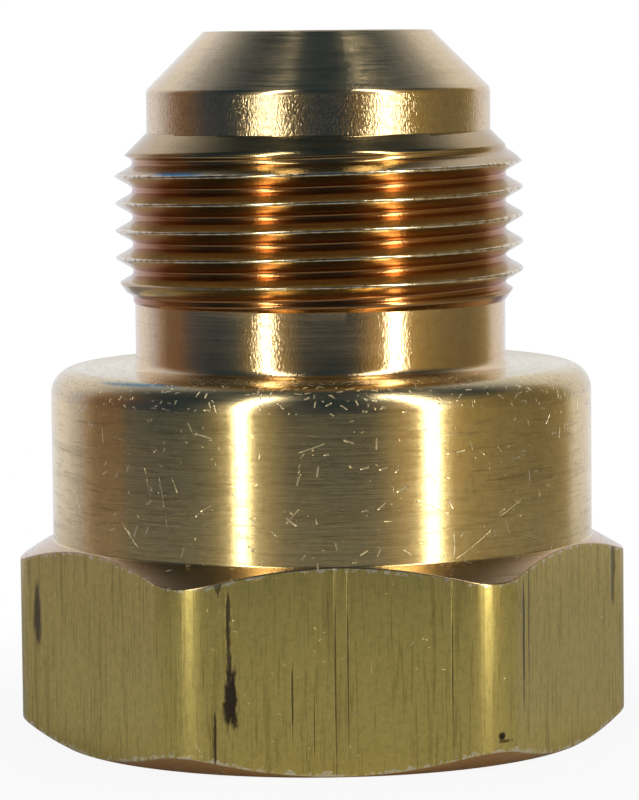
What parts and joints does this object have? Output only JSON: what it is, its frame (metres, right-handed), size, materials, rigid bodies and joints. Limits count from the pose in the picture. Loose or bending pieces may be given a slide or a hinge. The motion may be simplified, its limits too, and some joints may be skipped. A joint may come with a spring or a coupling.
{
  "type": "flare fitting",
  "caption": "Brass adapter with a 45 degree male flare and straight thread above a round collar and a hexagon with a female taper pipe thread.",
  "frame": {"origin": "centre of the lower end face, on the axis of the fitting", "axes": "+Z along the axis, from the pipe socket towards the flare; -Y and +Y square to two of the hexagon's flats; +X through a hexagon corner"},
  "size_m": [0.0356, 0.0318, 0.0412],
  "materials": {
    "brass": "as turned and as drawn, bare, with handling marks"
  },
  "bodies": {
    "root": {"adapter_body": "brass"}
  },
  "joints": []
}
